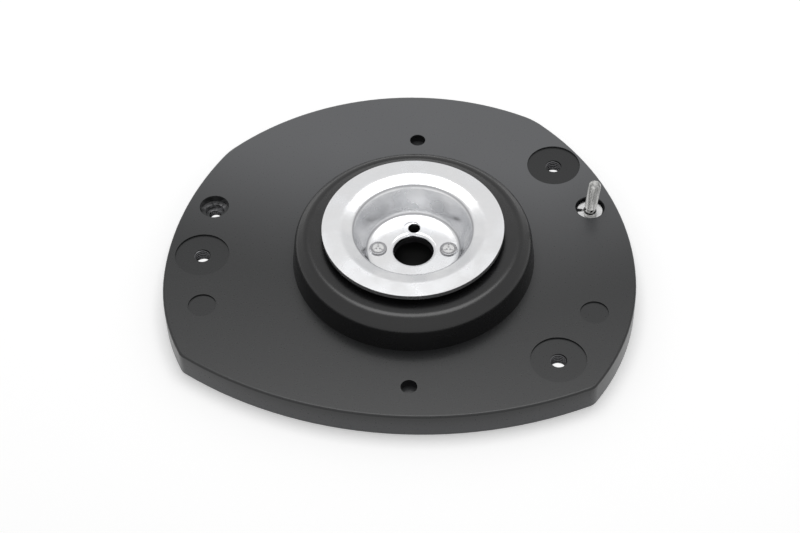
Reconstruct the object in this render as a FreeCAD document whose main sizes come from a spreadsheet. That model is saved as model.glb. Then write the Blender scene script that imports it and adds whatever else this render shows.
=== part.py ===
import FreeCAD, Part
import math
import os
import Sketcher

# Front strut mount: a black cast plate with a bonded rubber bush, a riveted steel cup pair and a locating stud.
# Lengths are millimetres. The origin is on the damper rod's axis, level with the plate's top face.
# The plate's top bolts up against the body, so +Z points out of the top of the mount.

doc = FreeCAD.newDocument("strut_mount")

# Driving sizes
SIZES = {
    # plate outline: six corners, met by arcs that are upright at the left and right
    "left_x": -120.5, "left_y": -11.8,
    "right_x": 107.2, "right_y": -11.0,
    "far_left_x": -96.4, "far_left_y": 70.5,
    "far_right_x": 59.3, "far_right_y": 95.3,
    "near_left_x": -107.6, "near_left_y": -62.3,
    "near_right_x": 85.5, "near_right_y": -78.5,
    "far_arc_radius": 128.5, "near_arc_radius": 193.5,
    "near_corner_round": 7.0, "far_corner_round": 34.0,
    # plate section
    "plate_height": 13.6, "web_thickness": 5.0, "rim_wall": 4.5,
    "top_edge_round": 1.1, "bottom_edge_round": 0.6,
    "opening_radius": 48.0, "hub_ring_wall": 8.0, "hub_ring_rise": 2.2,
    "rib_thickness": 3.0, "rib_rise": 1.7, "rib_count": 16, "rib_first_angle": 11.25,
    # tower bolts, M8
    "bolt_left_x": -103.0, "bolt_right_x": 69.0, "bolt_right_y": 62.5,
    "bolt_hole_radius": 4.0, "bolt_recess_radius": 13.25, "bolt_recess_depth": 0.8,
    "bolt_boss_radius": 8.5, "bolt_boss_depth": 7.7,
    # stud sockets, M6
    "socket_left_x": -100.0, "socket_left_y": 32.0,
    "socket_right_x": 86.5, "socket_right_y": 33.8,
    "socket_radius": 7.3, "socket_depth": 3.8,
    "socket_step_radius": 4.65, "socket_step_depth": 6.0,
    "socket_hole_radius": 3.0, "socket_boss_radius": 9.8, "socket_boss_depth": 9.5,
    "mark_depth": 0.7, "mark_radius": 6.8,
    # blind locating holes
    "pin_hole_y": 79.4, "pin_hole_radius": 3.9, "pin_hole_depth": 4.5,
    "pin_boss_radius": 6.5, "pin_boss_depth": 7.0,
    # rubber bush
    "foot_flare": 1.5, "foot_seat_depth": 0.3, "shoulder_width": 5.5, "shoulder_drop": 4.4,
    "shoulder_round": 5.5, "crest_width": 7.5, "crest_drop": 4.3, "crest_round": 5.0,
    "brim_gap": 0.4, "brim_drop": 1.2, "neck_gap": 3.9, "bond_gap": 0.25,
    "groove_width": 3.1, "groove_height": -2.5, "lining_wall": 1.6, "lining_end": -10.6,
    # outer sleeve
    "sleeve_wall": 1.8, "sleeve_top": -1.0, "sleeve_flange_width": 5.5, "sleeve_bend": 2.2,
    # upper cup
    "cup_sheet": 2.3, "cup_floor_radius": 22.8, "cup_floor_round": 3.4,
    "cup_wall_run": 5.6, "cup_mouth_drop": 1.7, "cup_mouth_round": 3.2,
    "cup_slope_run": 6.2, "cup_slope_round": 6.0,
    "cup_flange_width": 9.0, "cup_flange_height": 21.9,
    "rod_hole_radius": 9.4, "rod_hole_round": 1.9,
    # lower cup
    "hub_sheet": 3.2, "hub_wall_gap": 1.6, "hub_round": 4.7,
    "dish_run": 5.2, "dish_height": -4.0, "dish_round": 2.4, "dish_rim_gap": 3.0,
    # rivets and index hole
    "rivet_wall_gap": 5.8, "rivet_shank_radius": 2.6, "rivet_head_radius": 4.2,
    "rivet_head_height": 0.9, "rivet_tail_height": 1.2, "rivet_edge_round": 0.45,
    "stake_circle": 2.1, "stake_radius": 0.5, "stake_depth": 0.4,
    "index_hole_y": 14.1, "index_hole_radius": 3.0,
    "index_dimple_radius": 4.1, "index_dimple_depth": 0.5, "index_dimple_shift": -1.0,
    # locating stud and its retaining washer
    "stud_radius": 3.0, "stud_height": 17.0, "stud_chamfer": 0.8, "stud_lean": 5.0,
    "stud_collar_radius": 4.2, "stud_collar_top": 1.3, "stud_collar_thickness": 1.3,
    "stud_pilot_radius": 2.4, "stud_pilot_length": 3.4,
    "stud_neck_radius": 2.7, "stud_neck_length": 4.9,
    "washer_radius": 6.2, "washer_bore_radius": 3.3, "washer_thickness": 1.6, "washer_gap": 1.3,
}

sheet = doc.addObject("Spreadsheet::Sheet", "sizes")
for row, (alias, number) in enumerate(SIZES.items(), start=1):
    sheet.set("A%d" % row, alias)
    sheet.set("B%d" % row, "%g" % number)
    sheet.setAlias("B%d" % row, alias)
doc.recompute()


class Size:
    """A length together with the sheet expression that gives it."""

    def __init__(self, value, text):
        self.value = float(value)
        self.text = text

    def __add__(self, other):
        other = as_size(other)
        return Size(self.value + other.value, "(%s + %s)" % (self.text, other.text))

    def __sub__(self, other):
        other = as_size(other)
        return Size(self.value - other.value, "(%s - %s)" % (self.text, other.text))

    def __mul__(self, other):
        other = as_size(other)
        return Size(self.value * other.value, "(%s * %s)" % (self.text, other.text))

    def __neg__(self):
        return Size(-self.value, "(0 - %s)" % self.text)


def as_size(number):
    if isinstance(number, Size):
        return number
    return Size(number, "(%g)" % number)


def size(alias):
    return Size(sheet.get(alias), "sizes.%s" % alias)


def bind(target, path, length):
    """Sets a property from a sheet expression."""
    target.setExpression(path, length.text)


def new_body(label):
    body = doc.addObject("PartDesign::Body", label)
    body.Label = label
    return body


def new_sketch(body, name, role, height=None):
    """A sketch on one of the body's origin planes, lifted along its normal by height."""
    sketch = body.newObject("Sketcher::SketchObject", name)
    plane = [item for item in body.Origin.OriginFeatures if item.Role == role][0]
    sketch.AttachmentSupport = [(plane, "")]
    sketch.MapMode = "FlatFace"
    if height is not None:
        bind(sketch, "AttachmentOffset.Base.z", height)
    return sketch


def dimension(sketch, kind, places, length):
    """A sketch dimension driven by the sheet."""
    index = sketch.addConstraint(Sketcher.Constraint(kind, *places, length.value))
    name = "%s_%d" % (kind, index)
    sketch.renameConstraint(index, name)
    bind(sketch, "Constraints.%s" % name, length)


def pin_point(sketch, geometry, place, across, up):
    """Fixes a point of the sketch by its distances from the sketch's origin."""
    for kind, axis, length in (("DistanceX", -2, as_size(across)), ("DistanceY", -1, as_size(up))):
        if length.value == 0.0:
            sketch.addConstraint(Sketcher.Constraint("PointOnObject", geometry, place, axis))
        else:
            dimension(sketch, kind, (-1, 1, geometry, place), length)


def add_circle(sketch, across, up, radius):
    centre = FreeCAD.Vector(as_size(across).value, as_size(up).value, 0)
    circle = sketch.addGeometry(Part.Circle(centre, FreeCAD.Vector(0, 0, 1), radius.value), False)
    dimension(sketch, "Radius", (circle,), radius)
    pin_point(sketch, circle, 3, across, up)
    return circle


def end_near(sketch, arc, point):
    """Which end of an arc, 1 or 2, lies at the point."""
    start = sketch.getPoint(arc, 1)
    return 1 if (start - point).Length < (sketch.getPoint(arc, 2) - point).Length else 2


def round_corner(corner, before, after, radius):
    """Tangent points and middle of the arc that rounds a corner between two neighbours."""
    back = (before - corner).normalize()
    on = (after - corner).normalize()
    half = back.getAngle(on) / 2
    reach = radius / math.tan(half)
    bisector = (back + on).normalize()
    centre = corner + bisector * (radius / math.sin(half))
    return corner + back * reach, centre - bisector * radius, corner + on * reach


def add_polyline(sketch, corners, closed):
    """Lines through the corners, each (across, up, rounding radius or None), with tangent roundings."""
    points = [FreeCAD.Vector(as_size(c[0]).value, as_size(c[1]).value, 0) for c in corners]
    count = len(points)
    entries = []
    for i in range(count):
        if corners[i][2] is None:
            entries.append((points[i], None, points[i]))
        else:
            radius = corners[i][2].value
            entries.append(round_corner(points[i], points[i - 1], points[(i + 1) % count], radius))
    runs = count if closed else count - 1
    lines = []
    for i in range(runs):
        start = entries[i][2]
        finish = entries[(i + 1) % count][0]
        lines.append(sketch.addGeometry(Part.LineSegment(start, finish), False))
    for i in range(count):
        first = 0 if closed else 1
        last = count if closed else count - 1
        if not first <= i < last:
            continue
        before = lines[i - 1]
        after = lines[i]
        if corners[i][2] is None:
            sketch.addConstraint(Sketcher.Constraint("Coincident", before, 2, after, 1))
            pin_point(sketch, after, 1, corners[i][0], corners[i][1])
            continue
        arc = sketch.addGeometry(Part.Arc(*entries[i]), False)
        near = end_near(sketch, arc, entries[i][0])
        sketch.addConstraint(Sketcher.Constraint("Tangent", before, 2, arc, near))
        sketch.addConstraint(Sketcher.Constraint("Tangent", arc, 3 - near, after, 1))
        dimension(sketch, "Radius", (arc,), corners[i][2])
        corner = sketch.addGeometry(Part.Point(points[i]), True)
        sketch.addConstraint(Sketcher.Constraint("PointOnObject", corner, 1, before))
        sketch.addConstraint(Sketcher.Constraint("PointOnObject", corner, 1, after))
        pin_point(sketch, corner, 1, corners[i][0], corners[i][1])
    if not closed:
        pin_point(sketch, lines[0], 1, corners[0][0], corners[0][1])
        pin_point(sketch, lines[-1], 2, corners[-1][0], corners[-1][1])
    return lines


def add_sheet_section(sketch, corners, thickness):
    """The section of a formed sheet: its upper line, and an underside at a constant thickness."""
    upper = add_polyline(sketch, corners, False)
    points = [FreeCAD.Vector(as_size(c[0]).value, as_size(c[1]).value, 0) for c in corners]
    count = len(points)
    runs = [(points[i + 1] - points[i]).normalize() for i in range(count - 1)]
    shifts = [FreeCAD.Vector(run.y, -run.x, 0) * thickness.value for run in runs]

    def crossing(i):
        """Where the shifted lines before and after corner i meet."""
        a = points[i] + shifts[i - 1]
        b = points[i] + shifts[i]
        cross = runs[i - 1].x * runs[i].y - runs[i - 1].y * runs[i].x
        gap = b - a
        return a + runs[i - 1] * ((gap.x * runs[i].y - gap.y * runs[i].x) / cross)

    def upright(i, run, shift):
        """Where the shifted line of an end run meets the upright through the end point."""
        base = points[i] + shift
        return base + run * ((points[i].x - base.x) / run.x)

    below = [upright(0, runs[0], shifts[0])]
    below += [crossing(i) for i in range(1, count - 1)]
    below.append(upright(count - 1, runs[-1], shifts[-1]))
    entries = [(below[0], None, below[0])]
    radii = [None]
    for i in range(1, count - 1):
        turn_left = runs[i - 1].x * runs[i].y - runs[i - 1].y * runs[i].x > 0
        radius = corners[i][2] + thickness if turn_left else corners[i][2] - thickness
        radii.append(radius)
        entries.append(round_corner(below[i], below[i - 1], below[i + 1], radius.value))
    entries.append((below[-1], None, below[-1]))
    lower = []
    for i in range(count - 1):
        line = sketch.addGeometry(Part.LineSegment(entries[i][2], entries[i + 1][0]), False)
        sketch.addConstraint(Sketcher.Constraint("Parallel", upper[i], line))
        dimension(sketch, "Distance", (upper[i], 1, line), thickness)
        lower.append(line)
    for i in range(1, count - 1):
        arc = sketch.addGeometry(Part.Arc(*entries[i]), False)
        near = end_near(sketch, arc, entries[i][0])
        sketch.addConstraint(Sketcher.Constraint("Tangent", lower[i - 1], 2, arc, near))
        sketch.addConstraint(Sketcher.Constraint("Tangent", arc, 3 - near, lower[i], 1))
        dimension(sketch, "Radius", (arc,), radii[i])
    for place, up, down in ((1, upper[0], lower[0]), (2, upper[-1], lower[-1])):
        edge = Part.LineSegment(sketch.getPoint(down, place), sketch.getPoint(up, place))
        cap = sketch.addGeometry(edge, False)
        sketch.addConstraint(Sketcher.Constraint("Coincident", cap, 1, down, place))
        sketch.addConstraint(Sketcher.Constraint("Coincident", cap, 2, up, place))
        sketch.addConstraint(Sketcher.Constraint("Vertical", cap))


def revolve(body, sketch, name):
    feature = body.newObject("PartDesign::Revolution", name)
    feature.Profile = sketch
    feature.ReferenceAxis = (sketch, ["V_Axis"])
    feature.Angle = 360
    return feature


def pad(body, sketch, name, length, downwards):
    feature = body.newObject("PartDesign::Pad", name)
    feature.Profile = sketch
    feature.Reversed = downwards
    bind(feature, "Length", length)
    return feature


def pocket(body, sketch, name, depth=None, upwards=False):
    """A cut that goes down, or up, from its sketch, or through the whole body where no depth is given."""
    doc.recompute()
    before = body.Shape.Volume
    feature = body.newObject("PartDesign::Pocket", name)
    feature.Profile = sketch
    feature.Reversed = upwards
    if depth is None:
        feature.Type = 1
        feature.Midplane = True
    else:
        bind(feature, "Length", depth)
    doc.recompute()
    if not body.Shape.Volume < before - 1e-3:
        raise RuntimeError("the cut %s removes nothing" % name)
    return feature


def round_edges(body, name, radius, wanted):
    """Rounds the edges of the body that the test picks."""
    doc.recompute()
    base = body.Tip
    names = ["Edge%d" % (i + 1) for i, edge in enumerate(base.Shape.Edges) if wanted(edge)]
    feature = body.newObject("PartDesign::Fillet", name)
    feature.Base = (base, names)
    bind(feature, "Radius", radius)
    doc.recompute()
    return feature


def level(edge, height):
    """Whether the whole edge lies at one height."""
    box = edge.BoundBox
    return abs(box.ZMin - height) < 1e-4 and abs(box.ZMax - height) < 1e-4


def is_ring(edge, radius, height):
    """Whether the edge is a circle about Z of this radius at this height."""
    if not isinstance(edge.Curve, Part.Circle):
        return False
    return abs(edge.Curve.Radius - radius) < 1e-4 and level(edge, height)


# Mount plate: outline
plate_corners = {
    "left": (size("left_x"), size("left_y")),
    "near_left": (size("near_left_x"), size("near_left_y")),
    "near_right": (size("near_right_x"), size("near_right_y")),
    "right": (size("right_x"), size("right_y")),
    "far_right": (size("far_right_x"), size("far_right_y")),
    "far_left": (size("far_left_x"), size("far_left_y")),
}
corner_order = list(plate_corners)


def side_centre(middle, end):
    """Centre of the arc that stands upright at the middle point and passes through the end."""
    run = end.x - middle.x
    rise = end.y - middle.y
    return FreeCAD.Vector(middle.x + (run * run + rise * rise) / (2 * run), middle.y, 0)


def chord_centre(start, end, radius):
    """Centre, on the left of the chord, of the arc with this radius from start to end."""
    half = (end - start) * 0.5
    rise = math.sqrt(radius * radius - half.Length ** 2)
    return start + half + FreeCAD.Vector(-half.y, half.x, 0).normalize() * rise


def add_outline(sketch, inset=None):
    """The plate's outline as six arcs, or the same outline moved inwards by the inset."""
    points = [FreeCAD.Vector(x.value, y.value, 0) for x, y in plate_corners.values()]
    left, near_left, near_right, right, far_right, far_left = points
    centres = [
        side_centre(left, near_left),
        chord_centre(near_left, near_right, size("near_arc_radius").value),
        side_centre(right, near_right),
        side_centre(right, far_right),
        chord_centre(far_right, far_left, size("far_arc_radius").value),
        side_centre(left, far_left),
    ]
    arcs = []
    for i, centre in enumerate(centres):
        start = points[i]
        finish = points[(i + 1) % 6]
        middle = centre + ((start - centre) + (finish - centre)).normalize() * (start - centre).Length
        arcs.append(sketch.addGeometry(Part.Arc(start, middle, finish), inset is not None))
    for i, key in enumerate(corner_order):
        sketch.addConstraint(Sketcher.Constraint("Coincident", arcs[i - 1], 2, arcs[i], 1))
        pin_point(sketch, arcs[i], 1, *plate_corners[key])
    for side, arc in (("left", arcs[5]), ("left", arcs[0]), ("right", arcs[2]), ("right", arcs[3])):
        corner = arcs[corner_order.index(side)]
        sketch.addConstraint(Sketcher.Constraint("Horizontal", arc, 3, corner, 1))
    dimension(sketch, "Radius", (arcs[1],), size("near_arc_radius"))
    dimension(sketch, "Radius", (arcs[4],), size("far_arc_radius"))
    if inset is None:
        return
    radii = [(points[i] - centres[i]).Length - inset.value for i in range(6)]

    def meeting(i):
        """Where the inset arcs before and after corner i cross, or touch, near that corner."""
        a = centres[i - 1]
        b = centres[i]
        gap = (b - a).Length
        if abs(a.y - b.y) < 1e-9:
            return points[i] + (a - points[i]).normalize() * inset.value
        along = (radii[i - 1] ** 2 - radii[i] ** 2 + gap * gap) / (2 * gap)
        off = math.sqrt(max(radii[i - 1] ** 2 - along * along, 0.0))
        run = (b - a).normalize()
        side = FreeCAD.Vector(-run.y, run.x, 0)
        choices = [a + run * along + side * off, a + run * along - side * off]
        return min(choices, key=lambda point: (point - points[i]).Length)

    inner_points = [meeting(i) for i in range(6)]
    inner = []
    for i, centre in enumerate(centres):
        start = inner_points[i]
        finish = inner_points[(i + 1) % 6]
        middle = centre + ((start - centre) + (finish - centre)).normalize() * radii[i]
        inner.append(sketch.addGeometry(Part.Arc(start, middle, finish), False))
        sketch.addConstraint(Sketcher.Constraint("Coincident", inner[i], 3, arcs[i], 3))
    for i in range(6):
        if corner_order[i] in ("left", "right"):
            sketch.addConstraint(Sketcher.Constraint("Tangent", inner[i - 1], 2, inner[i], 1))
        else:
            sketch.addConstraint(Sketcher.Constraint("Coincident", inner[i - 1], 2, inner[i], 1))
    dimension(sketch, "Radius", (inner[1],), size("near_arc_radius") - inset)
    dimension(sketch, "Radius", (inner[4],), size("far_arc_radius") - inset)
    dimension(sketch, "DistanceX", (-1, 1, inner[0], 1), size("left_x") + inset)
    dimension(sketch, "DistanceX", (-1, 1, inner[3], 1), size("right_x") - inset)


plate_height = size("plate_height")
web = size("web_thickness")

# Radii and heights of the cups, and of the rubber that follows them outwards and downwards
cup_mouth_radius = size("cup_floor_radius") + size("cup_wall_run")
cup_slope_radius = cup_mouth_radius + size("cup_slope_run")
cup_flange_radius = cup_slope_radius + size("cup_flange_width")
cup_mouth_height = size("cup_flange_height") - size("cup_mouth_drop")
hub_radius = size("cup_floor_radius") + size("hub_wall_gap")
dish_radius = hub_radius + size("dish_run")
neck_radius = cup_slope_radius + size("neck_gap")
brim_radius = cup_flange_radius + size("brim_gap")
crest_radius = brim_radius + size("crest_width")
shoulder_radius = crest_radius + size("shoulder_width")
foot_radius = shoulder_radius + size("foot_flare")
crest_height = size("cup_flange_height") - size("crest_drop")
brim_height = crest_height - size("brim_drop")
shoulder_height = crest_height - size("shoulder_drop")
rivet_circle = size("cup_floor_radius") - size("rivet_wall_gap")

# Places on the plate
bolt_places = [
    (size("bolt_left_x"), as_size(0)),
    (size("bolt_right_x"), size("bolt_right_y")),
    (size("bolt_right_x"), -size("bolt_right_y")),
]
socket_places = [
    (size("socket_left_x"), size("socket_left_y")),
    (size("socket_right_x"), size("socket_right_y")),
]
mark_places = [(x, -y) for x, y in socket_places]
pin_places = [(as_size(0), size("pin_hole_y")), (as_size(0), -size("pin_hole_y"))]

plate = new_body("mount_plate")
sketch = new_sketch(plate, "plate_outline", "XY_Plane")
add_outline(sketch)
pad(plate, sketch, "plate_block", plate_height, True)
doc.recompute()

# Mount plate: hollow underside between the rim and the hub ring
hub_ring_radius = size("opening_radius") + size("hub_ring_wall")
sketch = new_sketch(plate, "underside_outline", "XY_Plane", -plate_height)
add_outline(sketch, size("rim_wall"))
add_circle(sketch, 0, 0, hub_ring_radius)
pocket(plate, sketch, "underside_hollow", plate_height - web, upwards=True)

# Mount plate: bosses under the holes
for name, places, radius, depth in (
    ("bolt_bosses", bolt_places, size("bolt_boss_radius"), size("bolt_boss_depth")),
    ("socket_bosses", socket_places, size("socket_boss_radius"), size("socket_boss_depth")),
    ("pin_bosses", pin_places, size("pin_boss_radius"), size("pin_boss_depth")),
):
    sketch = new_sketch(plate, name + "_sketch", "XY_Plane", -web)
    for across, up in places:
        add_circle(sketch, across, up, radius)
    pad(plate, sketch, name, depth - web, True)

# Mount plate: radial ribs, one drawn along X and repeated round the ring
sketch = new_sketch(plate, "rib_sketch", "XY_Plane", -web)
sketch.setExpression("AttachmentOffset.Rotation.Angle", "sizes.rib_first_angle")
rib_half = size("rib_thickness") * 0.5
rib_start = hub_ring_radius - size("hub_ring_wall") * 0.5
rib_end = -size("left_x") + size("rim_wall") * 2
add_polyline(sketch, [
    (rib_start, -rib_half, None), (rib_end, -rib_half, None),
    (rib_end, rib_half, None), (rib_start, rib_half, None)], True)
rib = pad(plate, sketch, "rib", plate_height - web - size("rib_rise"), True)
doc.recompute()
ribs = plate.newObject("PartDesign::PolarPattern", "ribs")
ribs.Originals = [rib]
ribs.Axis = (sketch, ["N_Axis"])
ribs.Angle = 360
ribs.setExpression("Occurrences", "sizes.rib_count")
plate.Tip = ribs
doc.recompute()

# Mount plate: ribs trimmed to the outline, then the ring cut back under the sleeve's flange
sketch = new_sketch(plate, "trim_outline", "XY_Plane")
add_outline(sketch)
add_circle(sketch, 0, 0, rib_end + size("rim_wall"))
pocket(plate, sketch, "rib_trim")
sketch = new_sketch(plate, "opening_sketch", "XY_Plane")
add_circle(sketch, 0, 0, size("opening_radius"))
pocket(plate, sketch, "bush_opening")
sketch = new_sketch(plate, "foot_seat_sketch", "XY_Plane")
add_circle(sketch, 0, 0, foot_radius)
pocket(plate, sketch, "foot_seat", size("foot_seat_depth"))
sketch = new_sketch(plate, "ring_relief_sketch", "XY_Plane", -plate_height)
add_circle(sketch, 0, 0, hub_ring_radius)
pocket(plate, sketch, "ring_relief", size("hub_ring_rise"), upwards=True)

# Mount plate: rounded corners and edges of the rim
corner_spots = {key: FreeCAD.Vector(x.value, y.value, 0) for key, (x, y) in plate_corners.items()}


def at_corner(edge, keys):
    """Whether the edge is the upright one at a named corner of the outline."""
    box = edge.BoundBox
    if box.ZLength < size("plate_height").value - 1e-3:
        return False
    spot = FreeCAD.Vector(box.Center.x, box.Center.y, 0)
    return any((spot - corner_spots[key]).Length < 1e-3 for key in keys)


def rim_loop(height):
    """The edges of the outline's loop at a height."""
    faces = [face for face in plate.Tip.Shape.Faces if level(face, height)]
    return max(faces, key=lambda face: face.BoundBox.DiagonalLength).OuterWire.Edges


round_edges(plate, "near_corners", size("near_corner_round"),
            lambda edge: at_corner(edge, ("near_left", "near_right")))
round_edges(plate, "far_corners", size("far_corner_round"),
            lambda edge: at_corner(edge, ("far_left", "far_right")))
for name, height, radius in (
    ("top_edge", 0.0, size("top_edge_round")),
    ("bottom_edge", -plate_height.value, size("bottom_edge_round")),
):
    loop = rim_loop(height)
    round_edges(plate, name, radius, lambda edge: any(edge.isSame(other) for other in loop))

# Mount plate: tower bolt holes in their sunken faces, stud sockets, their blind marks and the pin holes
for name, places, radius, depth in (
    ("bolt_recesses", bolt_places, size("bolt_recess_radius"), size("bolt_recess_depth")),
    ("bolt_holes", bolt_places, size("bolt_hole_radius"), None),
    ("socket_mouths", socket_places, size("socket_radius"), size("socket_depth")),
    ("socket_steps", socket_places, size("socket_step_radius"), size("socket_step_depth")),
    ("socket_holes", socket_places, size("socket_hole_radius"), None),
    ("socket_marks", mark_places, size("mark_radius"), size("mark_depth")),
    ("pin_holes", pin_places, size("pin_hole_radius"), size("pin_hole_depth")),
):
    sketch = new_sketch(plate, name + "_sketch", "XY_Plane")
    for across, up in places:
        add_circle(sketch, across, up, radius)
    pocket(plate, sketch, name, depth)

# Radii that follow the opening inwards: sleeve, rubber lining, the groove under the rubber, the hub's dish
sleeve_bore = size("opening_radius") - size("sleeve_wall")
lining_bore = sleeve_bore - size("lining_wall")
groove_radius = lining_bore - size("groove_width")
dish_edge_radius = groove_radius - size("dish_rim_gap")

# Outer sleeve: pressed into the plate's opening from below, with a flange under the hub ring
flange_top = size("hub_ring_rise") - plate_height
flange_bottom = flange_top - size("sleeve_wall")
sleeve = new_body("outer_sleeve")
sketch = new_sketch(sleeve, "sleeve_section", "XZ_Plane")
add_polyline(sketch, [
    (sleeve_bore, size("sleeve_top"), None),
    (sleeve_bore, flange_bottom, size("sleeve_bend")),
    (size("opening_radius") + size("sleeve_flange_width"), flange_bottom, None),
    (size("opening_radius") + size("sleeve_flange_width"), flange_top, None),
    (size("opening_radius"), flange_top, None),
    (size("opening_radius"), size("sleeve_top"), None)], True)
revolve(sleeve, sketch, "sleeve_ring")

# Upper cup: one drawn sheet with a round hole for the damper rod
cup_sheet = size("cup_sheet")
cup_floor = size("hub_sheet") + cup_sheet
upper_cup = new_body("upper_cup")
sketch = new_sketch(upper_cup, "cup_section", "XZ_Plane")
add_sheet_section(sketch, [
    (size("rod_hole_radius"), cup_floor, None),
    (size("cup_floor_radius"), cup_floor, size("cup_floor_round")),
    (cup_mouth_radius, cup_mouth_height, size("cup_mouth_round")),
    (cup_slope_radius, size("cup_flange_height"), size("cup_slope_round")),
    (cup_flange_radius, size("cup_flange_height"), None)], cup_sheet)
revolve(upper_cup, sketch, "cup_shell")

# Lower cup: the thick dished hub under the upper cup
lower_cup = new_body("lower_cup")
sketch = new_sketch(lower_cup, "hub_section", "XZ_Plane")
add_sheet_section(sketch, [
    (size("rod_hole_radius"), size("hub_sheet"), None),
    (hub_radius, size("hub_sheet"), size("hub_round")),
    (dish_radius, size("dish_height"), size("dish_round")),
    (dish_edge_radius, size("dish_height"), None)], size("hub_sheet"))
revolve(lower_cup, sketch, "hub_shell")

# Both cups: the rivet holes and the index hole
rivet_places = [(-rivet_circle, as_size(0)), (rivet_circle, as_size(0))]
for body, prefix, top in ((upper_cup, "cup", cup_floor), (lower_cup, "hub", size("hub_sheet"))):
    sketch = new_sketch(body, prefix + "_holes_sketch", "XY_Plane", top)
    for across, up in rivet_places:
        add_circle(sketch, across, up, size("rivet_shank_radius"))
    add_circle(sketch, 0, size("index_hole_y"), size("index_hole_radius"))
    pocket(body, sketch, prefix + "_holes", size("hub_sheet"))
sketch = new_sketch(upper_cup, "index_dimple_sketch", "XY_Plane", cup_floor)
add_circle(sketch, size("index_dimple_shift"), size("index_hole_y"), size("index_dimple_radius"))
pocket(upper_cup, sketch, "index_dimple", size("index_dimple_depth"))
round_edges(upper_cup, "rod_hole_edge", size("rod_hole_round"),
            lambda edge: is_ring(edge, size("rod_hole_radius").value, cup_floor.value))

# Rivets: a staked head in the cup, a shank through both sheets and a tail under the hub
for side, (across, up) in zip(("left", "right"), rivet_places):
    rivet = new_body("rivet_" + side)
    sketch = new_sketch(rivet, side + "_rivet_section", "XZ_Plane")
    head_top = cup_floor + size("rivet_head_height")
    tail = -size("rivet_tail_height")
    edge_round = size("rivet_edge_round")
    add_polyline(sketch, [
        (0, tail, None),
        (size("rivet_head_radius"), tail, edge_round),
        (size("rivet_head_radius"), 0, None),
        (size("rivet_shank_radius"), 0, None),
        (size("rivet_shank_radius"), cup_floor, None),
        (size("rivet_head_radius"), cup_floor, None),
        (size("rivet_head_radius"), head_top, edge_round),
        (0, head_top, None)], True)
    revolve(rivet, sketch, side + "_rivet_turned")
    doc.recompute()
    sketch = new_sketch(rivet, side + "_stake_sketch", "XY_Plane", head_top)
    add_circle(sketch, 0, size("stake_circle"), size("stake_radius"))
    stake = pocket(rivet, sketch, side + "_stake", size("stake_depth"))
    stakes = rivet.newObject("PartDesign::PolarPattern", side + "_stakes")
    stakes.Originals = [stake]
    stakes.Axis = (sketch, ["N_Axis"])
    stakes.Angle = 360
    stakes.Occurrences = 3
    rivet.Tip = stakes
    bind(rivet, "Placement.Base.x", across)

# Rubber bush: a dome on the plate, a neck to the cup's flange and a lining inside the sleeve
gap = size("bond_gap")
under_flange = size("cup_flange_height") - cup_sheet - gap
bush = new_body("rubber_bush")
sketch = new_sketch(bush, "bush_section", "XZ_Plane")
add_polyline(sketch, [
    (foot_radius, -size("foot_seat_depth"), None),
    (foot_radius, 0, None),
    (shoulder_radius, shoulder_height, size("shoulder_round")),
    (crest_radius, crest_height, size("crest_round")),
    (brim_radius, brim_height, size("crest_round")),
    (neck_radius, brim_height, gap * 8),
    (neck_radius, under_flange, None),
    (cup_slope_radius + gap, under_flange, None),
    (cup_mouth_radius + cup_sheet + gap * 2, cup_mouth_height - cup_sheet - gap * 2, None),
    (size("cup_floor_radius") + cup_sheet + gap * 2, cup_floor, None),
    (hub_radius + gap * 4, size("hub_sheet") - gap * 4, None),
    (dish_radius + gap * 2, size("dish_height") + gap, None),
    (dish_edge_radius + gap, size("dish_height") + gap, None),
    (groove_radius, size("groove_height"), None),
    (lining_bore, size("groove_height"), gap * 8),
    (lining_bore, size("lining_end"), None),
    (sleeve_bore, size("lining_end"), None),
    (sleeve_bore, size("sleeve_top"), None),
    (size("opening_radius"), size("sleeve_top"), None),
    (size("opening_radius"), -size("foot_seat_depth"), None)], True)
revolve(bush, sketch, "bush_ring")

# Locating stud: turned in one piece, with a collar held under the washer, leaning as it stands loose
washer_top = size("washer_thickness") - size("socket_depth")
stud = new_body("locating_stud")
sketch = new_sketch(stud, "stud_section", "XZ_Plane")
collar_top = -size("stud_collar_top")
collar_bottom = collar_top - size("stud_collar_thickness")
stud_top = size("stud_height") - washer_top + size("washer_thickness") * 0.5
add_polyline(sketch, [
    (0, collar_bottom - size("stud_pilot_length"), None),
    (size("stud_pilot_radius"), collar_bottom - size("stud_pilot_length"), None),
    (size("stud_pilot_radius"), collar_bottom, None),
    (size("stud_collar_radius"), collar_bottom, None),
    (size("stud_collar_radius"), collar_top, None),
    (size("stud_neck_radius"), collar_top, None),
    (size("stud_neck_radius"), collar_top + size("stud_neck_length"), None),
    (size("stud_radius"), collar_top + size("stud_neck_length"), None),
    (size("stud_radius"), stud_top - size("stud_chamfer"), None),
    (size("stud_radius") - size("stud_chamfer"), stud_top, None),
    (0, stud_top, None)], True)
revolve(stud, sketch, "stud_turned")
stud_x, stud_y = socket_places[1]
bind(stud, "Placement.Base.x", stud_x)
bind(stud, "Placement.Base.y", stud_y)
bind(stud, "Placement.Base.z", washer_top - size("washer_thickness") * 0.5)
stud.Placement.Rotation = FreeCAD.Rotation(FreeCAD.Vector(0, 1, 0), 1)
bind(stud, "Placement.Rotation.Angle", size("stud_lean"))

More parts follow.
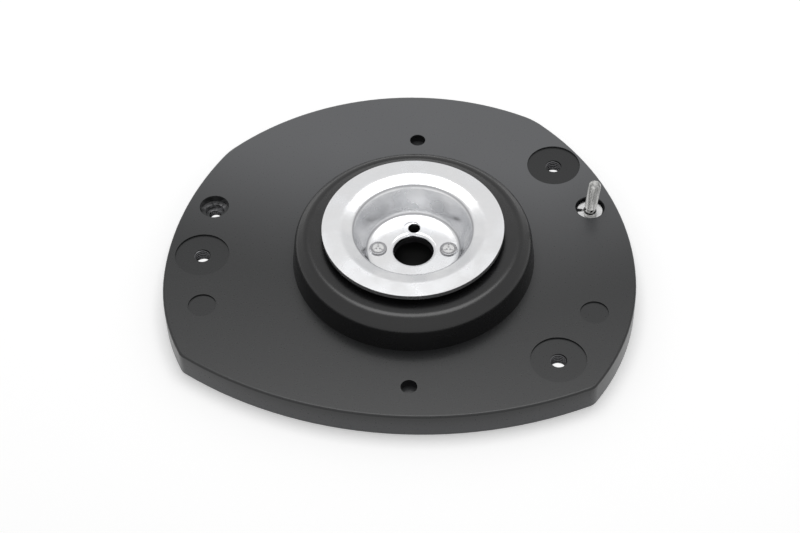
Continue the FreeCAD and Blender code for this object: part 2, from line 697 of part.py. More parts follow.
# Retaining washer: a split spring ring that lies on the socket's step and traps the stud's collar
washer = new_body("retaining_washer")
sketch = new_sketch(washer, "washer_sketch", "XY_Plane")
add_circle(sketch, 0, 0, size("washer_radius"))
add_circle(sketch, 0, 0, size("washer_bore_radius"))
pad(washer, sketch, "washer_ring", size("washer_thickness"), True)
doc.recompute()
sketch = new_sketch(washer, "washer_gap_sketch", "XY_Plane")
gap_half = size("washer_gap") * 0.5
add_polyline(sketch, [
    (-size("washer_radius") * 1.1, -gap_half * 2, None),
    (-size("washer_bore_radius") * 0.9, -gap_half, None),
    (-size("washer_bore_radius") * 0.9, gap_half, None),
    (-size("washer_radius") * 1.1, gap_half * 2, None)], True)
pocket(washer, sketch, "washer_split", size("washer_thickness"))
bind(washer, "Placement.Base.x", stud_x)
bind(washer, "Placement.Base.y", stud_y)
bind(washer, "Placement.Base.z", washer_top)

# Check every object and write each piece
doc.recompute()
pieces = [item for item in doc.Objects if item.TypeId == "PartDesign::Body"]
for item in doc.Objects:
    if "Invalid" in item.State or "Error" in item.State:
        raise RuntimeError("%s failed: %s" % (item.Name, item.State))
    if item.TypeId == "Sketcher::SketchObject" and item.solve() != 0:
        raise RuntimeError("%s does not solve" % item.Name)
os.makedirs("parts", exist_ok=True)
for piece in pieces:
    shape = piece.Shape
    if shape.isNull() or not shape.isValid() or len(shape.Solids) != 1:
        raise RuntimeError("%s is not one sound solid" % piece.Label)
    shape.exportStep("parts/%s.step" % piece.Label)
    box = shape.BoundBox
    print("%-18s volume %9.1f mm3, z %.2f to %.2f" % (piece.Label, shape.Volume, box.ZMin, box.ZMax))
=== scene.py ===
import math

import bpy
import numpy as np
from mathutils import Matrix, Vector


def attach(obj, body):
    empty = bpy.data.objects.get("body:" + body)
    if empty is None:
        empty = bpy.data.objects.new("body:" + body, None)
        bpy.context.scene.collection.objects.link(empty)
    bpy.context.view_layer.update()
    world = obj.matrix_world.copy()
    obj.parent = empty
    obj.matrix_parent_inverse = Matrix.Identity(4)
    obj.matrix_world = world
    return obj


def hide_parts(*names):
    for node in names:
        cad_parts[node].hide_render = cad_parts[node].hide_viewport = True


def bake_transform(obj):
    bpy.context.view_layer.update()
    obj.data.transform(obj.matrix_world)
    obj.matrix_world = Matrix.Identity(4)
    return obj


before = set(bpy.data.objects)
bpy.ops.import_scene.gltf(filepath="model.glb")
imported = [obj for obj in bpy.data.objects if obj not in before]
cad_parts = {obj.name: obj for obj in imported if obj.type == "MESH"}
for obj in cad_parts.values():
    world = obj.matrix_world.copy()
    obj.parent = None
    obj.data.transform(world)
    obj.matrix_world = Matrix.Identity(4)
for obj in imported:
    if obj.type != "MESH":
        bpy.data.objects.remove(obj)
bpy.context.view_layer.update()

# Front strut mount: black coated plate, rubber bush, bright riveted cups, threaded stud and split washer.
# Lengths are millimetres until a mesh or a material takes them. The origin is on the damper rod's axis,
# level with the plate's top face.
MM = 0.001

REST_PLANE = -13.6                       # bottom of the plate's rim
BOLT_PLACES = [(-103.0, 0.0), (69.0, 62.5), (69.0, -62.5)]
BOLT_TOP, BOLT_FOOT = -0.8, -7.7         # sunk face and boss end round each tower bolt hole
SOCKET_PLACE = (-100.0, 32.0)            # the stud socket that stays empty
SOCKET_STEP, SOCKET_FOOT = -6.0, -9.5    # its step and its boss end
STUD_PLACE = (86.5, 33.8, -3.0)
STUD_LEAN = math.radians(5.0)
RIVET_X = 17.0                           # both rivets lie on X, this far from the rod's axis


def linear(hex_colour):
    """An sRGB hex colour as linear red, green, blue and alpha."""
    channels = [int(hex_colour[i:i + 2], 16) / 255 for i in (1, 3, 5)]
    return [c / 12.92 if c <= 0.04045 else ((c + 0.055) / 1.055) ** 2.4 for c in channels] + [1.0]


# Materials


def node(tree, kind, inputs=None, **settings):
    """Adds one node with its settings, and fills its sockets with values or links from other sockets."""
    made = tree.nodes.new(kind)
    for key, value in settings.items():
        setattr(made, key, value)
    for socket, value in (inputs or {}).items():
        if isinstance(value, bpy.types.NodeSocket):
            tree.links.new(value, made.inputs[socket])
        else:
            made.inputs[socket].default_value = value
    return made


def new_material(name):
    """A new material with its tree, its shader and the Object coordinates, which are in metres."""
    material = bpy.data.materials.new(name)
    material.use_nodes = True
    tree = material.node_tree
    shader = tree.nodes["Principled BSDF"]
    place = node(tree, "ShaderNodeTexCoord").outputs["Object"]
    return material, tree, shader, place


def per_mm(size):
    """Noise scale whose features are about this many millimetres across."""
    return 1000.0 / size


def black_coated_casting():
    """Die-cast aluminium under a thin black coat: charcoal with a faint orange peel. Painted light makes it
    paler behind the hub, a painted reflection pales the foot of the rim's wall, and painted shade darkens
    the sunk faces. The empty socket's step is bare, rough and silvery on its far side, and painted shade
    keeps its near side dark."""
    material, tree, shader, place = new_material("black_coated_casting")
    axes = node(tree, "ShaderNodeSeparateXYZ", {"Vector": place})
    cloud = node(tree, "ShaderNodeTexNoise", {"Vector": place, "Scale": per_mm(60), "Detail": 2.0})
    grain = node(tree, "ShaderNodeTexNoise", {"Vector": place, "Scale": per_mm(0.8), "Detail": 3.0})
    # Painted light: how far a point lies behind the hub, less a third of its distance from the palest line,
    # says how much paler the coat is painted
    palest_x, sideways = 25.0, 0.33
    aside = node(tree, "ShaderNodeMath", {0: axes.outputs["X"], 1: palest_x * MM}, operation="SUBTRACT")
    aside = node(tree, "ShaderNodeMath", {0: aside.outputs[0]}, operation="ABSOLUTE")
    aside = node(tree, "ShaderNodeMath", {0: aside.outputs[0], 1: sideways}, operation="MULTIPLY")
    thin = node(tree, "ShaderNodeMath", {0: axes.outputs["Y"], 1: aside.outputs[0]}, operation="SUBTRACT")
    thin = node(tree, "ShaderNodeMapRange", {
        "Value": thin.outputs[0], "From Min": -50.0 * MM, "From Max": 60.0 * MM},
        interpolation_type="SMOOTHSTEP")
    coat = node(tree, "ShaderNodeMix", {
        0: thin.outputs["Result"], 6: linear("#1c1d1e"), 7: linear("#5c5d5f")}, data_type="RGBA")
    mottle = node(tree, "ShaderNodeMapRange", {
        "Value": cloud.outputs["Fac"], "To Min": 0.92, "To Max": 1.08})
    mottled = node(tree, "ShaderNodeVectorMath", {0: coat.outputs[2]}, operation="SCALE")
    tree.links.new(mottle.outputs["Result"], mottled.inputs["Scale"])
    # Painted shade darkens the sunk faces and all below them; they lie 0.8 mm deep, so it starts well above
    # them
    sunk = node(tree, "ShaderNodeMapRange", {
        "Value": axes.outputs["Z"], "From Min": -0.25 * MM, "From Max": -0.55 * MM})
    shade = node(tree, "ShaderNodeMix", {
        0: sunk.outputs["Result"], 6: mottled.outputs[0], 7: linear("#1e1f20")}, data_type="RGBA")
    # Painted reflection of the white table: the rim's wall pales towards its foot
    foot = node(tree, "ShaderNodeMapRange", {
        "Value": axes.outputs["Z"], "From Min": -2.0 * MM, "From Max": -12.0 * MM})
    shade = node(tree, "ShaderNodeMix", {
        0: foot.outputs["Result"], 6: shade.outputs[2], 7: linear("#545557")}, data_type="RGBA")
    # Bare step: inside a ball round the empty socket's middle that reaches 7 mm out at the step, below the
    # bare edge, and fading in on the far side. Nearer the front the step keeps the dark tone, as painted
    # shade
    socket_x, socket_y = SOCKET_PLACE
    ball_height, ball_radius, bare_edge = -4.0, 7.25, -3.7
    span = node(tree, "ShaderNodeVectorMath", {
        0: place, 1: (socket_x * MM, socket_y * MM, ball_height * MM)}, operation="DISTANCE")
    in_ball = node(tree, "ShaderNodeMath", {0: span.outputs["Value"], 1: ball_radius * MM},
                   operation="LESS_THAN")
    deep = node(tree, "ShaderNodeMath", {0: axes.outputs["Z"], 1: bare_edge * MM}, operation="LESS_THAN")
    bare = node(tree, "ShaderNodeMath", {0: in_ball.outputs[0], 1: deep.outputs[0]}, operation="MULTIPLY")
    far_side = node(tree, "ShaderNodeMapRange", {
        "Value": axes.outputs["Y"], "From Min": (socket_y + 1.0) * MM, "From Max": (socket_y + 4.0) * MM})
    bare = node(tree, "ShaderNodeMath", {0: bare.outputs[0], 1: far_side.outputs["Result"]},
                operation="MULTIPLY")
    scrape = node(tree, "ShaderNodeTexNoise", {"Vector": place, "Scale": per_mm(1.6), "Detail": 3.0})
    patch = node(tree, "ShaderNodeMapRange", {
        "Value": scrape.outputs["Fac"], "From Min": 0.38, "From Max": 0.62})
    bare = node(tree, "ShaderNodeMath", {0: bare.outputs[0], 1: patch.outputs["Result"]},
                operation="MULTIPLY")
    colour = node(tree, "ShaderNodeMix", {
        0: bare.outputs[0], 6: shade.outputs[2], 7: linear("#9a9a9c")}, data_type="RGBA")
    tree.links.new(colour.outputs[2], shader.inputs["Base Color"])
    tree.links.new(bare.outputs[0], shader.inputs["Metallic"])
    rough = node(tree, "ShaderNodeMapRange", {
        "Value": grain.outputs["Fac"], "To Min": 0.24, "To Max": 0.34})
    tree.links.new(rough.outputs["Result"], shader.inputs["Roughness"])
    # Less sheen in the sunk faces
    sheen = node(tree, "ShaderNodeMapRange", {
        "Value": sunk.outputs["Result"], "To Min": 0.5, "To Max": 0.42})
    tree.links.new(sheen.outputs["Result"], shader.inputs["Specular IOR Level"])
    peel = node(tree, "ShaderNodeBump", {
        "Height": grain.outputs["Fac"], "Strength": 0.05, "Distance": 0.05 * MM})
    tree.links.new(peel.outputs["Normal"], shader.inputs["Normal"])
    return material


def moulded_rubber():
    """Natural rubber from a polished mould: near black with a soft satin sheen and a faint bloom."""
    material, tree, shader, place = new_material("moulded_rubber")
    bloom = node(tree, "ShaderNodeTexNoise", {"Vector": place, "Scale": per_mm(16), "Detail": 3.0})
    grain = node(tree, "ShaderNodeTexNoise", {"Vector": place, "Scale": per_mm(1.0), "Detail": 3.0})
    tone = node(tree, "ShaderNodeMix", {
        0: bloom.outputs["Fac"], 6: linear("#0d0d0e"), 7: linear("#161617")}, data_type="RGBA")
    tree.links.new(tone.outputs[2], shader.inputs["Base Color"])
    rough = node(tree, "ShaderNodeMapRange", {
        "Value": bloom.outputs["Fac"], "To Min": 0.22, "To Max": 0.32})
    tree.links.new(rough.outputs["Result"], shader.inputs["Roughness"])
    skin = node(tree, "ShaderNodeBump", {
        "Height": grain.outputs["Fac"], "Strength": 0.06, "Distance": 0.05 * MM})
    tree.links.new(skin.outputs["Normal"], shader.inputs["Normal"])
    return material


def plated_steel(name, bright, dull, low, high, wave, patch, stretch=1.0):
    """Drawn or turned steel with bright zinc plate: a pale mirror broken by slight waves that the tool
    left, with cloudy patches of duller plate. low and high are the roughness of the bright and the dull
    plate, wave and patch the sizes of waves and patches in millimetres, and along Z they are longer by the
    stretch."""
    material, tree, shader, place = new_material(name)
    shader.inputs["Metallic"].default_value = 1.0
    place = node(tree, "ShaderNodeVectorMath", {0: place, 1: (1.0, 1.0, 1.0 / stretch)},
                 operation="MULTIPLY").outputs[0]
    cloud = node(tree, "ShaderNodeTexNoise", {"Vector": place, "Scale": per_mm(patch), "Detail": 4.0})
    waves = node(tree, "ShaderNodeTexNoise", {"Vector": place, "Scale": per_mm(wave), "Detail": 3.0})
    clouded = node(tree, "ShaderNodeMapRange", {
        "Value": cloud.outputs["Fac"], "From Min": 0.35, "From Max": 0.65})
    tone = node(tree, "ShaderNodeMix", {
        0: clouded.outputs["Result"], 6: linear(bright), 7: linear(dull)}, data_type="RGBA")
    tree.links.new(tone.outputs[2], shader.inputs["Base Color"])
    rough = node(tree, "ShaderNodeMapRange", {
        "Value": clouded.outputs["Result"], "To Min": low, "To Max": high})
    tree.links.new(rough.outputs["Result"], shader.inputs["Roughness"])
    skin = node(tree, "ShaderNodeBump", {
        "Height": waves.outputs["Fac"], "Strength": 0.25, "Distance": 0.08 * MM})
    tree.links.new(skin.outputs["Normal"], shader.inputs["Normal"])
    return material


def phosphated_steel():
    """Pressed steel with a dark zinc phosphate coat: matt charcoal crystals with faint lighter rubs. The
    crystals are drawn coarser than real ones, which are too fine to show."""
    material, tree, shader, place = new_material("phosphated_steel")
    crystals = node(tree, "ShaderNodeTexNoise", {"Vector": place, "Scale": per_mm(1.2), "Detail": 4.0})
    tone = node(tree, "ShaderNodeMix", {
        0: crystals.outputs["Fac"], 6: linear("#1d1d1e"), 7: linear("#2f2f31")}, data_type="RGBA")
    tree.links.new(tone.outputs[2], shader.inputs["Base Color"])
    shader.inputs["Metallic"].default_value = 0.4
    shader.inputs["Roughness"].default_value = 0.55
    skin = node(tree, "ShaderNodeBump", {
        "Height": crystals.outputs["Fac"], "Strength": 0.15, "Distance": 0.05 * MM})
    tree.links.new(skin.outputs["Normal"], shader.inputs["Normal"])
    return material


def tapped_thread():
    """Thread cut in the casting: oily aluminium, with painted shade that turns its roots near black, so
    that the crests show as thin lines of the metal's own tone. The surface's own attribute "groove" runs
    from 0 on the crest to 1 in the root."""
    material, tree, shader, place = new_material("tapped_thread")
    oil = node(tree, "ShaderNodeTexNoise", {"Vector": place, "Scale": per_mm(1.5), "Detail": 3.0})
    groove = node(tree, "ShaderNodeAttribute", attribute_name="groove")
    # Painted shade: near black in the roots, the metal's own tone on the crests
    crest = node(tree, "ShaderNodeMapRange", {
        "Value": groove.outputs["Fac"], "From Min": 0.7, "From Max": 0.1})
    tone = node(tree, "ShaderNodeMix", {
        0: crest.outputs["Result"], 6: linear("#0c0c0d"), 7: linear("#6a6a6c")}, data_type="RGBA")
    tree.links.new(tone.outputs[2], shader.inputs["Base Color"])
    shader.inputs["Metallic"].default_value = 1.0
    rough = node(tree, "ShaderNodeMapRange", {"Value": oil.outputs["Fac"], "To Min": 0.22, "To Max": 0.40})
    tree.links.new(rough.outputs["Result"], shader.inputs["Roughness"])
    return material


def staked_rivet():
    """Plated rivet head, dull where the punch spread it: three dots 1 mm from its middle, and a darker
    outer ring."""
    material = plated_steel("zinc_plated_rivet", "#dcdcdc", "#bdbdbd", low=0.22, high=0.36, wave=1.5,
                            patch=2.5)
    tree = material.node_tree
    shader = tree.nodes["Principled BSDF"]
    colour = shader.inputs["Base Color"].links[0].from_socket
    place = node(tree, "ShaderNodeTexCoord").outputs["Object"]
    # The size of X serves for both heads
    head = node(tree, "ShaderNodeVectorMath", {0: place}, operation="ABSOLUTE")
    head_x = node(tree, "ShaderNodeSeparateXYZ", {"Vector": head.outputs[0]}).outputs["X"]
    own_y = node(tree, "ShaderNodeSeparateXYZ", {"Vector": place}).outputs["Y"]
    flat = node(tree, "ShaderNodeCombineXYZ", {"X": head_x, "Y": own_y}).outputs[0]
    nearest = None
    for angle in map(math.radians, (90, 210, 330)):
        dot_place = ((RIVET_X + math.cos(angle)) * MM, math.sin(angle) * MM, 0.0)
        spot = node(tree, "ShaderNodeVectorMath", {0: flat, 1: dot_place}, operation="DISTANCE")
        nearest = spot.outputs["Value"] if nearest is None else node(
            tree, "ShaderNodeMath", {0: nearest, 1: spot.outputs["Value"]}, operation="MINIMUM").outputs[0]
    dot = node(tree, "ShaderNodeMapRange", {"Value": nearest, "From Min": 0.65 * MM, "From Max": 0.35 * MM})
    span = node(tree, "ShaderNodeVectorMath", {0: flat, 1: (RIVET_X * MM, 0.0, 0.0)}, operation="DISTANCE")
    rim = node(tree, "ShaderNodeMapRange", {
        "Value": span.outputs["Value"], "From Min": 2.5 * MM, "From Max": 2.9 * MM})
    marked = node(tree, "ShaderNodeMath", {0: dot.outputs["Result"], 1: rim.outputs["Result"]},
                  operation="MAXIMUM")
    shade = node(tree, "ShaderNodeMix", {0: marked.outputs[0], 6: colour, 7: linear("#929294")},
                 data_type="RGBA")
    tree.links.new(shade.outputs[2], shader.inputs["Base Color"])
    return material


def drawn_cup():
    """Bright plated cup with a thin darker line of painted shade along each of its two bends: where the
    flange turns down into the cup and where its wall meets the floor."""
    material = plated_steel("zinc_plated_cup", "#eeeeef", "#d9dadc", low=0.16, high=0.30, wave=8.0,
                            patch=14.0)
    tree = material.node_tree
    shader = tree.nodes["Principled BSDF"]
    colour = shader.inputs["Base Color"].links[0].from_socket
    place = node(tree, "ShaderNodeTexCoord").outputs["Object"]
    axes = node(tree, "ShaderNodeSeparateXYZ", {"Vector": place})
    flat = node(tree, "ShaderNodeCombineXYZ", {"X": axes.outputs["X"], "Y": axes.outputs["Y"]})
    radius = node(tree, "ShaderNodeVectorMath", {0: flat.outputs[0]}, operation="LENGTH")
    # Radii of the lower and the upper crease, and a height between them
    floor_crease, flange_crease, half_way = 22.6, 28.7, 12.0
    level = node(tree, "ShaderNodeMath", {0: axes.outputs["Z"], 1: half_way * MM}, operation="GREATER_THAN")
    crease = node(tree, "ShaderNodeMapRange", {
        "Value": level.outputs[0], "To Min": floor_crease * MM, "To Max": flange_crease * MM})
    off = node(tree, "ShaderNodeMath", {0: radius.outputs["Value"], 1: crease.outputs["Result"]},
               operation="SUBTRACT")
    off = node(tree, "ShaderNodeMath", {0: off.outputs[0]}, operation="ABSOLUTE")
    line = node(tree, "ShaderNodeMapRange", {
        "Value": off.outputs[0], "From Min": 0.7 * MM, "From Max": 0.1 * MM, "To Max": 0.75})
    # Painted shade: the darker line along each bend
    shade = node(tree, "ShaderNodeMix", {0: line.outputs["Result"], 6: colour, 7: linear("#8e8f92")},
                 data_type="RGBA")
    tree.links.new(shade.outputs[2], shader.inputs["Base Color"])
    return material


casting = black_coated_casting()
thread_metal = tapped_thread()
rubber = moulded_rubber()
cup_plate = drawn_cup()
stud_plate = plated_steel("zinc_plated_stud", "#dededc", "#666665", low=0.12, high=0.22, wave=1.5,
                          patch=2.4, stretch=12.0)
rivet_plate = staked_rivet()
spring_steel = plated_steel("bright_spring_steel", "#e6e6e6", "#c4c4c4", low=0.18, high=0.34, wave=1.5,
                            patch=3.0)
hub_steel = phosphated_steel()

for name, material in (
    ("mount_plate", casting), ("outer_sleeve", hub_steel), ("upper_cup", cup_plate),
    ("lower_cup", hub_steel), ("rivet_left", rivet_plate), ("rivet_right", rivet_plate),
    ("retaining_washer", spring_steel), ("rubber_bush", rubber), ("locating_stud", stud_plate),
):
    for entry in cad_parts[name].material_slots:
        entry.material = material

# Surfaces


def grid_piece(name, points, material, wrap_rows=True):
    """A piece from a grid of points (rows, columns, 3) in mm. Columns close on themselves, and rows do
    where asked. A row that lies in one point becomes a single vertex, and the faces there triangles. The
    faces' signed volume is the sum of their corners' triple products, and where it is negative they are
    turned round."""
    rows, columns = points.shape[:2]
    index = np.arange(rows * columns).reshape(rows, columns)
    pole = np.ptp(points, axis=1).max(axis=1) < 1e-9
    index[pole] = index[pole, :1]
    if wrap_rows:
        index = np.concatenate([index, index[:1]])
    index = np.concatenate([index, index[:, :1]], axis=1)
    faces = np.stack([index[:-1, :-1], index[1:, :-1], index[1:, 1:], index[:-1, 1:]], -1).reshape(-1, 4)
    used, faces = np.unique(faces, return_inverse=True)
    faces = faces.reshape(-1, 4)
    corners = points.reshape(-1, 3)[used] * MM
    a, b, c, d = (corners[faces[:, i]] for i in range(4))
    volume = np.einsum("ij,ij->", a, np.cross(b, c)) + np.einsum("ij,ij->", a, np.cross(c, d))
    if volume < 0:
        faces = faces[:, ::-1]
    lists = [list(dict.fromkeys(face)) for face in faces.tolist()]
    mesh = bpy.data.meshes.new(name)
    mesh.from_pydata(corners.tolist(), [], [face for face in lists if len(face) > 2])
    mesh.polygons.foreach_set("use_smooth", np.ones(len(mesh.polygons), bool))
    mesh.set_sharp_from_angle(angle=math.radians(40))
    mesh.materials.append(material)
    piece = bpy.data.objects.new(name, mesh)
    bpy.context.scene.collection.objects.link(piece)
    return piece


def turned(radii, heights, angles):
    """Surface of revolution: the point at row i and column j is x = r cos a, y = r sin a, z, where r is the
    radius of row i at angle j and z the height of row i."""
    heights = np.broadcast_to(heights[:, None], radii.shape)
    return np.stack([radii * np.cos(angles), radii * np.sin(angles), heights], -1)


def thread_groove(heights, angles, pitch):
    """How deep into a right-hand thread each point is, from 0 on the crest to 1 in the root. The place
    along the pitch is height / pitch less the share of a turn, and the straight flanks lie between a crest
    of an eighth of the pitch and a root of a quarter."""
    crest, root = 0.125, 0.25
    share = (heights[:, None] / pitch - angles[None, :] / (2 * np.pi)) % 1.0
    return np.clip((np.abs(share - 0.5) * 2.0 - crest) / (1.0 - crest - root), 0.0, 1.0)


def placed(points, place, lean=0.0):
    """Points turned about Y by the lean, towards +X, and then moved to their place."""
    c, s = math.cos(lean), math.sin(lean)
    x = points[..., 0] * c + points[..., 2] * s
    z = points[..., 2] * c - points[..., 0] * s
    return np.stack([x, points[..., 1], z], -1) + np.array(place)


def rounded(corners, steps=6):
    """A section line through corners (across, up, radius). Where a radius is given, the corner is an arc
    that touches both sides: its centre is on the bisector, at radius / sin(half the corner's angle)."""
    line = []
    for i, (x, y, radius) in enumerate(corners):
        corner = np.array([x, y])
        if not radius:
            line.append(corner)
            continue
        back = np.array(corners[i - 1][:2]) - corner
        on = np.array(corners[(i + 1) % len(corners)][:2]) - corner
        back, on = back / np.linalg.norm(back), on / np.linalg.norm(on)
        half = math.acos(back @ on) / 2
        centre = corner + (back + on) / np.linalg.norm(back + on) * radius / math.sin(half)
        first = corner + back * radius / math.tan(half) - centre
        last = corner + on * radius / math.tan(half) - centre
        swing = math.pi - 2 * half
        share = np.linspace(0, 1, steps + 1)[:, None]
        arc = (np.sin((1 - share) * swing) * first + np.sin(share * swing) * last) / math.sin(swing)
        line.extend(centre + arc)
    return np.array(line)


TURN = np.arange(72) * (2 * np.pi / 72)              # angles round a thread
ROUND = np.arange(256) * (2 * np.pi / 256)           # angles round the bush


def hole_thread(name, place, radius, top, foot, pitch, depth):
    """Thread ridges that line a hole. The inner wall stands at the crest radius, or at 45 degrees to the
    nearer end where that is wider, plus depth times the thread groove. The outer wall lies just inside the
    hole's own."""
    end_gap, widest, hole_side, rows_a_pitch = 0.03, radius - 0.02, radius - 0.005, 14
    z = np.linspace(foot + end_gap, top - end_gap, int((top - foot) / pitch * rows_a_pitch))
    to_end = np.minimum(top - z, z - foot)
    wall = np.maximum(radius - depth, widest - to_end)
    groove = thread_groove(z, TURN, pitch)
    inner = np.minimum(wall[:, None] + depth * groove, widest)
    outer = np.full((2, len(TURN)), hole_side)
    radii = np.concatenate([inner, outer])
    heights = np.concatenate([z, [z[-1], z[0]]])
    ridges = placed(turned(radii, heights, TURN), (*place, 0.0))
    piece = grid_piece(name, ridges, thread_metal)
    drawn = piece.data.attributes.new("groove", "FLOAT", "POINT")
    drawn.data.foreach_set("value", np.concatenate([groove, np.ones_like(outer)]).ravel())
    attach(piece, "plate")


for number, place in enumerate(BOLT_PLACES, start=1):
    hole_thread("bolt_thread_%d" % number, place, radius=4.0, top=BOLT_TOP, foot=BOLT_FOOT, pitch=1.25,
                depth=0.55)
hole_thread("socket_thread", SOCKET_PLACE, radius=3.0, top=SOCKET_STEP, foot=SOCKET_FOOT, pitch=1.0,
            depth=0.45)

# Locating stud: M6 stud with a chamfered tip, a plain neck, a collar under the washer and a pilot
foot_line = rounded([(0.0, -6.0, None), (2.4, -6.0, 0.3), (2.4, -2.6, None), (4.2, -2.6, 0.2),
                     (4.2, -1.3, 0.2), (2.7, -1.3, None), (2.7, 3.4, None)])
STUD_RADIUS, STUD_TIP, STUD_TOP = 3.0, 2.1, 20.0     # the tip's radius rises to the thread's at 45 degrees
STUD_PITCH, STUD_DEPTH = 1.0, 0.5
SHANK_FOOT, SHANK_ROWS = 3.6, 230                    # where the thread starts, and its rows up to the tip
shank_z = np.linspace(SHANK_FOOT, STUD_TOP, SHANK_ROWS)
shank_wall = np.minimum(STUD_RADIUS, STUD_TIP + (STUD_TOP - shank_z))
shank = np.minimum(shank_wall[:, None], STUD_RADIUS - STUD_DEPTH * thread_groove(shank_z, TURN, STUD_PITCH))
tip = np.zeros((1, len(TURN)))
stud_radii = np.concatenate([np.repeat(foot_line[:, :1], len(TURN), axis=1), shank, tip])
stud_heights = np.concatenate([foot_line[:, 1], shank_z, [STUD_TOP]])
stud = grid_piece("threaded_stud", placed(turned(stud_radii, stud_heights, TURN), STUD_PLACE, STUD_LEAN),
                  stud_plate, wrap_rows=False)
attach(stud, "plate")
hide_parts("locating_stud")

# Rubber bush in two parts that meet on an upright cut under the cup's flange, so that the bonded core moves
# with the cups, while the dome from its foot on the plate to its crest is attached to neither body. Each
# section's corners are given by radius, height and rounding
CUT = 41.5                                           # radius of the cut
dome_line = rounded([
    (58.5, -0.3, None), (58.5, 0.0, None), (57.0, 13.2, 5.5), (51.5, 17.6, 5.0), (44.0, 16.4, None),
    (CUT + 0.05, 16.4, None), (CUT + 0.05, -2.5, None), (44.6, -2.5, 1.5), (44.6, -10.6, None),
    (46.2, -10.6, None), (46.2, -1.0, None), (48.0, -1.0, None), (48.0, -0.3, None)], 12)
core_line = rounded([
    (CUT, 16.4, None), (38.5, 16.4, 1.5), (38.5, 19.35, None), (34.85, 19.35, None), (31.2, 17.4, None),
    (25.6, 5.5, None), (25.4, 2.2, None), (30.1, -3.75, None), (38.75, -3.75, None), (CUT, -2.5, None)])
for name, line in (("rubber_dome", dome_line), ("rubber_core", core_line)):
    radii = np.repeat(line[:, :1], len(ROUND), axis=1)
    piece = grid_piece(name, turned(radii, line[:, 1], ROUND), rubber)
    if name == "rubber_dome":
        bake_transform(piece)
    else:
        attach(piece, "core")
    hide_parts("rubber_bush")

# Studio: a white table that the camera sees lifted towards white, with the mount's shadow kept
TABLE_HALF = 3.0                                     # half the table's side, in metres
TABLE_CORNERS = [(x * TABLE_HALF, y * TABLE_HALF, REST_PLANE * MM)
                 for x, y in ((-1, -1), (1, -1), (1, 1), (-1, 1))]
floor_mesh = bpy.data.meshes.new("floor")
floor_mesh.from_pydata(TABLE_CORNERS, [], [(0, 1, 2, 3)])
floor = bpy.data.objects.new("floor", floor_mesh)
bpy.context.scene.collection.objects.link(floor)

table, tree, shader, place = new_material("studio_table")
shader.inputs["Roughness"].default_value = 0.9
shader.inputs["Specular IOR Level"].default_value = 0.0
rays = node(tree, "ShaderNodeLightPath")
direct = node(tree, "ShaderNodeMath", {0: rays.outputs["Is Camera Ray"], 1: rays.outputs["Is Glossy Ray"]},
              operation="MAXIMUM")
# Painted light: the lift is strongest where the table shows through the bolt holes and the empty socket, a
# little behind them. Painted shade: under the hub the table is dark
BEHIND_HOLE = 7.0
SPOT_LIFT, TABLE_LIFT = 0.95, 0.31
PAINTED_SHADE_RADIUS, WHITE_TABLE_RADIUS = 48.0, 56.0                 # dark inside the first radius, white past the second
nearest = None
for x, y in BOLT_PLACES + [SOCKET_PLACE]:
    spot = node(tree, "ShaderNodeVectorMath", {
        0: place, 1: (x * MM, (y + BEHIND_HOLE) * MM, REST_PLANE * MM)}, operation="DISTANCE")
    nearest = spot.outputs["Value"] if nearest is None else node(
        tree, "ShaderNodeMath", {0: nearest, 1: spot.outputs["Value"]}, operation="MINIMUM").outputs[0]
painted_light_spots = node(tree, "ShaderNodeMapRange", {
    "Value": nearest, "From Min": 5.0 * MM, "From Max": 7.0 * MM,
    "To Min": SPOT_LIFT, "To Max": TABLE_LIFT})
hub = node(tree, "ShaderNodeVectorMath", {0: place, 1: (0.0, 0.0, REST_PLANE * MM)}, operation="DISTANCE")
clear = node(tree, "ShaderNodeMapRange", {
    "Value": hub.outputs["Value"], "From Min": PAINTED_SHADE_RADIUS * MM, "From Max": WHITE_TABLE_RADIUS * MM})
# Painted shade: a dark table under the hub, white beyond
table_and_painted_shade = node(tree, "ShaderNodeMix", {
    0: clear.outputs["Result"], 6: linear("#3a3a3a"), 7: linear("#efefef")}, data_type="RGBA")
tree.links.new(table_and_painted_shade.outputs[2], shader.inputs["Base Color"])
lift = node(tree, "ShaderNodeMath", {0: painted_light_spots.outputs["Result"], 1: clear.outputs["Result"]},
            operation="MULTIPLY")
lift = node(tree, "ShaderNodeMath", {0: lift.outputs[0], 1: direct.outputs[0]}, operation="MULTIPLY")
shader.inputs["Emission Color"].default_value = (1.0, 1.0, 1.0, 1.0)
tree.links.new(lift.outputs[0], shader.inputs["Emission Strength"])
floor_mesh.materials.append(table)

world = bpy.data.worlds.new("studio")
bpy.context.scene.world = world
world.use_nodes = True
tree = world.node_tree
backdrop = tree.nodes["Background"]
backdrop.inputs["Color"].default_value = (1.0, 1.0, 1.0, 1.0)
rays = node(tree, "ShaderNodeLightPath")
direction = node(tree, "ShaderNodeSeparateXYZ", {
    "Vector": node(tree, "ShaderNodeTexCoord").outputs["Generated"]})
# Metal mirrors a white backdrop that greys a little towards the back of the studio. The camera sees it
# plain white
WORLD_LIGHT, FRONT_WHITE, BACK_WHITE = 0.45, 0.98, 0.80
mirrored = node(tree, "ShaderNodeMapRange", {
    "Value": direction.outputs["Y"], "From Min": -0.6, "From Max": 0.6,
    "To Min": FRONT_WHITE, "To Max": BACK_WHITE})
lit = node(tree, "ShaderNodeMix", {
    0: rays.outputs["Is Glossy Ray"], 2: WORLD_LIGHT, 3: mirrored.outputs["Result"]})
seen = node(tree, "ShaderNodeMix", {0: rays.outputs["Is Camera Ray"], 2: lit.outputs[0], 3: 1.0})
tree.links.new(seen.outputs[0], backdrop.inputs["Strength"])


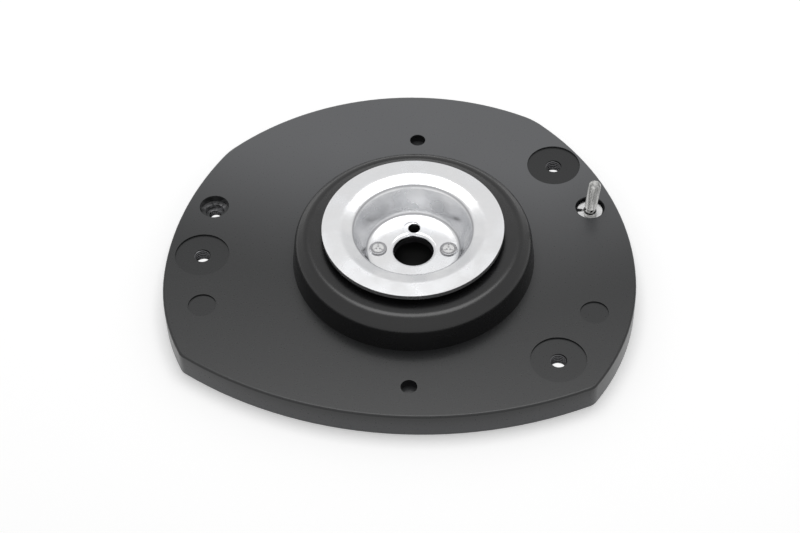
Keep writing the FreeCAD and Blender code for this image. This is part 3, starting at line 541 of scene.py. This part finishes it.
def softbox(name, place, target, width, height, radiance):
    """A rectangular studio light at a place, facing a target, in metres. Its power is pi times its area
    times its radiance, where a radiance of 1 looks white."""
    lamp = bpy.data.lights.new(name, "AREA")
    lamp.shape = "RECTANGLE"
    lamp.size, lamp.size_y = width, height
    lamp.energy = math.pi * width * height * radiance
    holder = bpy.data.objects.new(name, lamp)
    holder.location = place
    holder.rotation_euler = (Vector(target) - Vector(place)).to_track_quat("-Z", "Y").to_euler()
    bpy.context.scene.collection.objects.link(holder)


def on_dome(azimuth, elevation, distance):
    """A place round the mount: azimuth in degrees from behind towards the right, elevation in degrees above
    the table. Across it is distance times the elevation's cosine, and up it is distance times its sine."""
    a, e = math.radians(azimuth), math.radians(elevation)
    return (distance * math.sin(a) * math.cos(e), distance * math.cos(a) * math.cos(e),
            distance * math.sin(e))


softbox("rear_softbox", on_dome(azimuth=4.0, elevation=77.0, distance=1.0), target=(0.0, 0.0, 0.0),
        width=0.8, height=0.62, radiance=3.0)

# Camera: the photograph's view, about 49 degrees above the table
FOCAL, FRAME_WIDTH, DISTANCE = 2006.3, 800.0, 973.9      # pixels, pixels, mm
ELEVATION, YAW, ROLL = math.radians(48.97), math.radians(3.0986), math.radians(-1.7446)
SENSOR_WIDTH = 36.0                                      # mm
CENTRE = (400.0, 266.5)                                  # middle of the frame, in pixels
ORIGIN_SEEN = (413.8, 257.2)                             # where the rod's axis meets the plate's top face

forward = np.array([0.0, math.cos(ELEVATION), -math.sin(ELEVATION)])
right = np.array([1.0, 0.0, 0.0])
up = np.cross(right, forward)
across = (ORIGIN_SEEN[0] - CENTRE[0]) / FOCAL * DISTANCE
down = (ORIGIN_SEEN[1] - CENTRE[1]) / FOCAL * DISTANCE
pose = np.eye(4)
pose[:3, 0] = math.cos(ROLL) * right + math.sin(ROLL) * up
pose[:3, 1] = math.cos(ROLL) * up - math.sin(ROLL) * right
pose[:3, 2] = -forward
pose[:3, 3] = (down * up - across * right - DISTANCE * forward) * MM
lens = bpy.data.cameras.new("camera")
lens.sensor_width = SENSOR_WIDTH
lens.lens = SENSOR_WIDTH * FOCAL / FRAME_WIDTH
camera = bpy.data.objects.new("camera", lens)
camera.matrix_world = Matrix.Rotation(YAW, 4, "Z") @ Matrix(pose.tolist())
bpy.context.scene.collection.objects.link(camera)
bpy.context.scene.camera = camera
bpy.context.scene.view_settings.view_transform = "Standard"

bpy.context.view_layer.update()
